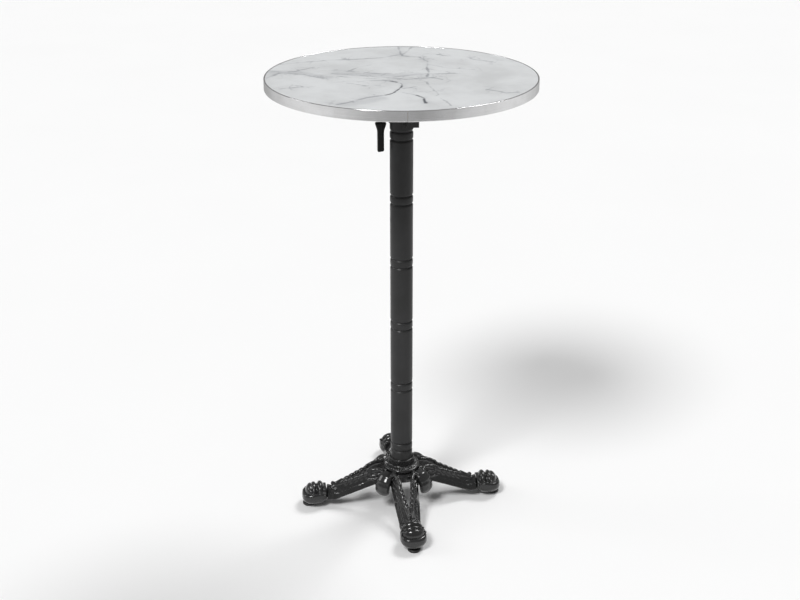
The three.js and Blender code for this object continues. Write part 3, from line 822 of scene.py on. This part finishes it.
def maths(tree, operation, a, b=0.0, c=0.0):
    made = tree.nodes.new("ShaderNodeMath")
    made.operation = operation
    for socket, value in zip(made.inputs, (a, b, c)):
        feed(tree, socket, value)
    return made.outputs[0]


def vector(tree, operation, a, b=None, scale=None):
    made = tree.nodes.new("ShaderNodeVectorMath")
    made.operation = operation
    feed(tree, made.inputs[0], a)
    if b is not None:
        feed(tree, made.inputs[1], b)
    if scale is not None:
        feed(tree, made.inputs["Scale"], scale)
    return made


def ranged(tree, value, low, high, out_low=0.0, out_high=1.0):
    made = tree.nodes.new("ShaderNodeMapRange")
    made.interpolation_type = "SMOOTHSTEP"
    feed(tree, made.inputs["Value"], value)
    made.inputs["From Min"].default_value = low
    made.inputs["From Max"].default_value = high
    made.inputs["To Min"].default_value = out_low
    made.inputs["To Max"].default_value = out_high
    return made.outputs["Result"]


def mixed(tree, factor, a, b):
    made = tree.nodes.new("ShaderNodeMix")
    made.data_type = "RGBA"
    feed(tree, made.inputs["Factor"], factor)
    feed(tree, made.inputs["A"], a)
    feed(tree, made.inputs["B"], b)
    return made.outputs["Result"]


def object_coords(tree, stretch=None):
    coords = tree.nodes.new("ShaderNodeTexCoord").outputs["Object"]
    if stretch is None:
        return coords
    return vector(tree, "MULTIPLY", coords, stretch).outputs["Vector"]


def noise(tree, scale, detail=3.0, coords=None, roughness=0.5):
    made = tree.nodes.new("ShaderNodeTexNoise")
    tree.links.new(coords or object_coords(tree), made.inputs["Vector"])
    made.inputs["Scale"].default_value = scale
    made.inputs["Detail"].default_value = detail
    made.inputs["Roughness"].default_value = roughness
    return made


def bump(tree, shader, height, strength, distance):
    made = tree.nodes.new("ShaderNodeBump")
    tree.links.new(height, made.inputs["Height"])
    made.inputs["Strength"].default_value = strength
    made.inputs["Distance"].default_value = distance
    tree.links.new(made.outputs["Normal"], shader.inputs["Normal"])


def grey(tone, tint=0.0):
    return (tone, tone, tone * (1 + tint), 1)


# ---------------------------------------------------------------- materials


def paint(name, dark, light, rough_low, rough_high, peel_scale, peel_depth,
          lump_scale=60.0, coat=0.0, shine=0.5):
    """Paint or powder coat: slow tone changes, patchy gloss, and an orange-peel surface."""
    material, tree, shader = new_material(name)
    shader.inputs["Coat Weight"].default_value = coat
    shader.inputs["Coat Roughness"].default_value = 0.10
    shader.inputs["Specular IOR Level"].default_value = shine
    slow = noise(tree, lump_scale, 4).outputs["Fac"]
    colour = mixed(tree, ranged(tree, slow, 0.35, 0.65), grey(dark), grey(light, 0.02))
    tree.links.new(colour, shader.inputs["Base Color"])
    patches = noise(tree, lump_scale * 3, 2).outputs["Fac"]
    tree.links.new(ranged(tree, patches, 0.3, 0.7, rough_low, rough_high), shader.inputs["Roughness"])
    bump(tree, shader, noise(tree, peel_scale, 1).outputs["Fac"], 0.2, peel_depth)
    return material


def metal(name, dark, light, rough_low, rough_high, stretch, depth):
    """Bare metal with brushed or plated streaks along the directions that stretch keeps low."""
    material, tree, shader = new_material(name)
    shader.inputs["Metallic"].default_value = 1.0
    streaks = noise(tree, 1.0, 4, object_coords(tree, stretch), 0.65).outputs["Fac"]
    cloud = noise(tree, 25.0, 3).outputs["Fac"]
    blend = maths(tree, "MULTIPLY_ADD", streaks, 0.6, maths(tree, "MULTIPLY", cloud, 0.4))
    colour = mixed(tree, ranged(tree, blend, 0.35, 0.65), grey(dark), grey(light, 0.01))
    tree.links.new(colour, shader.inputs["Base Color"])
    tree.links.new(ranged(tree, streaks, 0.3, 0.7, rough_low, rough_high), shader.inputs["Roughness"])
    bump(tree, shader, streaks, 0.25, depth)
    return material


# Vein paths on the marble print, from the table's centre, in units that put the rim at PRINT_R
PRINT_R = 325
BOLD_VEINS = [
    [(-30, -50), (-10, -80), (-20, -120), (-40, -160), (-60, -180)],
    [(10, -190), (20, -220), (20, -260)],
]
MIDDLE_VEINS = [
    [(-110, -50), (-90, -40), (-50, -40), (-30, -50)],
    [(-60, -180), (-100, -200), (-140, -230), (-170, -250)],
    [(30, 320), (30, 210), (70, 190), (80, 140), (70, 50), (60, -20)],
    [(-20, -160), (10, -190)],
]
SMEARS = [
    [(-70, -210), (-110, -230), (-150, -260)],
    [(-150, 45), (-90, 20), (-20, 5), (40, 10)],
    [(-300, 70), (-240, 60), (-180, 5)],
]
FINE_VEINS = [
    [(-280, 155), (-160, 185), (-30, 190), (35, 230), (65, 310)],
    [(-315, 15), (-280, 65), (-230, 45), (-190, 0)],
    [(-315, 90), (-250, 75), (-200, 110)],
    [(-160, 40), (-70, 0), (10, -40), (70, -30), (90, -50)],
    [(-150, 10), (-80, -20), (-20, -12), (60, 10), (130, 5)],
    [(-190, 75), (-110, 60), (-40, 20), (30, 30)],
    [(-135, -60), (-90, -90), (-60, -85)],
    [(50, -70), (52, -155)],
    [(55, -200), (70, -285)],
    [(120, 215), (190, 175), (205, 140), (240, 115)],
    [(175, -155), (215, -195), (240, -190)],
    [(-120, 60), (-95, 95), (-60, 120)],
    [(-290, -95), (-240, -80)],
    [(75, 110), (120, 60), (180, 40)],
    [(-35, -135), (20, -110)],
]


MARBLE_WHITE = (0.70, 0.714, 0.722, 1)
MARBLE_GREY = (0.585, 0.595, 0.60, 1)
VEIN_HALO = (0.36, 0.37, 0.39, 1)
VEIN_SOFT = (0.30, 0.31, 0.33, 1)
VEIN_DARK = (0.10, 0.105, 0.12, 1)


def segment_distance(tree, place, a, b):
    """Distance from place to the line from a to b, all in metres on the table's plane."""
    start, along = Vector((*a, 0)) * MM, Vector((b[0] - a[0], b[1] - a[1], 0)) * MM
    rel = vector(tree, "SUBTRACT", place, tuple(start)).outputs["Vector"]
    dot = vector(tree, "DOT_PRODUCT", rel, tuple(along / along.length_squared)).outputs["Value"]
    share = clamped(tree, dot)
    foot = vector(tree, "SCALE", tuple(along), scale=share).outputs["Vector"]
    return vector(tree, "DISTANCE", rel, foot).outputs["Value"]


def clamped(tree, value):
    made = tree.nodes.new("ShaderNodeClamp")
    tree.links.new(value, made.inputs["Value"])
    return made.outputs["Result"]


def vein_distance(tree, place, paths):
    """Distance from place to the nearest of the paths."""
    nearest = None
    for path in paths:
        for a, b in zip(path, path[1:]):
            distance = segment_distance(tree, place, a, b)
            nearest = distance if nearest is None else maths(tree, "MINIMUM", nearest, distance)
    return nearest


def wobble(tree, place, scale, amount, detail):
    """Place moved about by smooth noise, by up to about half of amount."""
    drift = noise(tree, scale, detail, place).outputs["Color"]
    centred = vector(tree, "SUBTRACT", drift, (0.5, 0.5, 0.5)).outputs["Vector"]
    step = vector(tree, "SCALE", centred, scale=amount).outputs["Vector"]
    return vector(tree, "ADD", place, step).outputs["Vector"]


def marble():
    """Printed marble laminate: cool white clouds, smears, bold, middle and fine veins, a satin surface."""
    material, tree, shader = new_material("marble_laminate")
    flat = object_coords(tree, (PRINT_R / TOP_R, PRINT_R / TOP_R, 0))
    place = wobble(tree, wobble(tree, flat, 12, 0.018, 3), 70, 0.008, 4)
    clouds = noise(tree, 7, 5, flat, 0.6).outputs["Fac"]
    colour = mixed(tree, ranged(tree, clouds, 0.35, 0.7), MARBLE_WHITE, MARBLE_GREY)
    patch = noise(tree, 14, 3, flat).outputs["Fac"]
    bold = vein_distance(tree, place, BOLD_VEINS)
    middle = vein_distance(tree, place, MIDDLE_VEINS)
    fine = vein_distance(tree, place, FINE_VEINS)
    stain = vein_distance(tree, wobble(tree, flat, 25, 0.03, 4), SMEARS)
    width = ranged(tree, patch, 0.32, 0.68, 0.0034, 0.0060)
    halo = ranged(tree, maths(tree, "MINIMUM", bold, middle), 0.0, 0.018, 0.30, 0.0)
    smear = maths(tree, "MULTIPLY", halo, ranged(tree, clouds, 0.40, 0.60, 0.15, 1.0))
    colour = mixed(tree, smear, colour, VEIN_HALO)
    colour = mixed(tree, ranged(tree, stain, 0.004, 0.024, 0.34, 0.0), colour, VEIN_HALO)
    patchy = ranged(tree, patch, 0.38, 0.54, 0.35, 1.0)
    for distance, reach, strength, tone in (
        (fine, 0.95, maths(tree, "MULTIPLY", patchy, 0.8), VEIN_SOFT),
        (middle, 1.0, maths(tree, "MULTIPLY", patchy, 0.95), VEIN_SOFT),
        (bold, 1.1, 1.0, VEIN_DARK),
    ):
        line = ranged(tree, maths(tree, "DIVIDE", distance, width), 0.25, reach, 1.0, 0.0)
        colour = mixed(tree, maths(tree, "MULTIPLY", line, strength), colour, tone)
    branch = tree.nodes.new("ShaderNodeTexVoronoi")
    branch.feature = "DISTANCE_TO_EDGE"
    branch.inputs["Scale"].default_value = 16
    tree.links.new(wobble(tree, flat, 18, 0.07, 5), branch.inputs["Vector"])
    hair = ranged(tree, branch.outputs["Distance"], 0.0, 0.035, 0.65, 0.0)
    near_veins = ranged(tree, maths(tree, "MINIMUM", middle, fine), 0.0, 0.045, 1.0, 0.0)
    hair = maths(tree, "MULTIPLY", hair, near_veins)
    hair = maths(tree, "MULTIPLY", hair, ranged(tree, patch, 0.42, 0.58))
    colour = mixed(tree, hair, colour, VEIN_SOFT)
    tree.links.new(colour, shader.inputs["Base Color"])
    grain = noise(tree, 900, 2, flat).outputs["Fac"]
    tree.links.new(ranged(tree, grain, 0.3, 0.7, 0.34, 0.42), shader.inputs["Roughness"])
    bump(tree, shader, grain, 0.08, 0.00005)
    return material


def chip_board():
    """Raw particle board: pale and dark wood chips of a few millimetres."""
    material, tree, shader = new_material("particle_board")
    chips = tree.nodes.new("ShaderNodeTexVoronoi")
    chips.inputs["Scale"].default_value = 450
    tree.links.new(object_coords(tree), chips.inputs["Vector"])
    tone = tree.nodes.new("ShaderNodeSeparateColor")
    tree.links.new(chips.outputs["Color"], tone.inputs[0])
    colour = mixed(tree, tone.outputs[0], (0.50, 0.36, 0.22, 1), (0.68, 0.54, 0.38, 1))
    tree.links.new(colour, shader.inputs["Base Color"])
    shader.inputs["Roughness"].default_value = 0.85
    bump(tree, shader, chips.outputs["Distance"], 0.4, 0.0004)
    return material


def backing():
    """Plain grey backing laminate with a fine speckle and slow clouds."""
    material, tree, shader = new_material("backing_laminate")
    speck = noise(tree, 700, 2).outputs["Fac"]
    cloud = noise(tree, 12, 3).outputs["Fac"]
    colour = mixed(tree, ranged(tree, speck, 0.4, 0.6), (0.20, 0.195, 0.19, 1), (0.25, 0.245, 0.24, 1))
    colour = mixed(tree, ranged(tree, cloud, 0.35, 0.7, 0.0, 0.35), colour, (0.30, 0.295, 0.285, 1))
    tree.links.new(colour, shader.inputs["Base Color"])
    tree.links.new(ranged(tree, speck, 0.3, 0.7, 0.55, 0.7), shader.inputs["Roughness"])
    bump(tree, shader, speck, 0.2, 0.0001)
    return material


def floor_material():
    """A plain pale floor, nearly even."""
    material, tree, shader = new_material("floor")
    cloud = noise(tree, 1.5, 2).outputs["Fac"]
    tree.links.new(mixed(tree, cloud, grey(0.86), grey(0.88)), shader.inputs["Base Color"])
    shader.inputs["Roughness"].default_value = 0.9
    shader.inputs["Specular IOR Level"].default_value = 0.1
    return material


def make_materials():
    return {
        "marble": marble(),
        "band": metal("edge_band", 0.74, 0.86, 0.07, 0.15, (9, 9, 2600), 0.00001),
        "zinc": metal("zinc_steel", 0.50, 0.68, 0.22, 0.40, (900, 900, 900), 0.00004),
        "column": paint("column_black", 0.031, 0.038, 0.30, 0.38, 1800, 0.00003, 12.0, shine=0.18),
        "base": paint("base_black", 0.015, 0.021, 0.22, 0.30, 500, 0.00003, 25.0, 0.9, 0.15),
        "bracket": paint("bracket_black", 0.008, 0.013, 0.38, 0.52, 1500, 0.0001),
        "handle": paint("handle_black", 0.003, 0.005, 0.30, 0.42, 2600, 0.00008, shine=0.22),
        "rubber": paint("buffer_rubber", 0.014, 0.020, 0.75, 0.9, 1200, 0.0001),
        "glide": paint("glide_black", 0.010, 0.014, 0.38, 0.5, 2200, 0.00008),
        "bush": paint("hinge_bush", 0.60, 0.68, 0.40, 0.5, 1500, 0.00005),
        "board": chip_board(),
        "backing": backing(),
    }


MATERIALS = make_materials()
make_camera()
make_stage()
make_base()
make_collar()
make_column()
make_marble_sheet()
make_edge_band()
make_handle()
make_spring()
make_screws()
make_glides()
dress_cad_nodes()
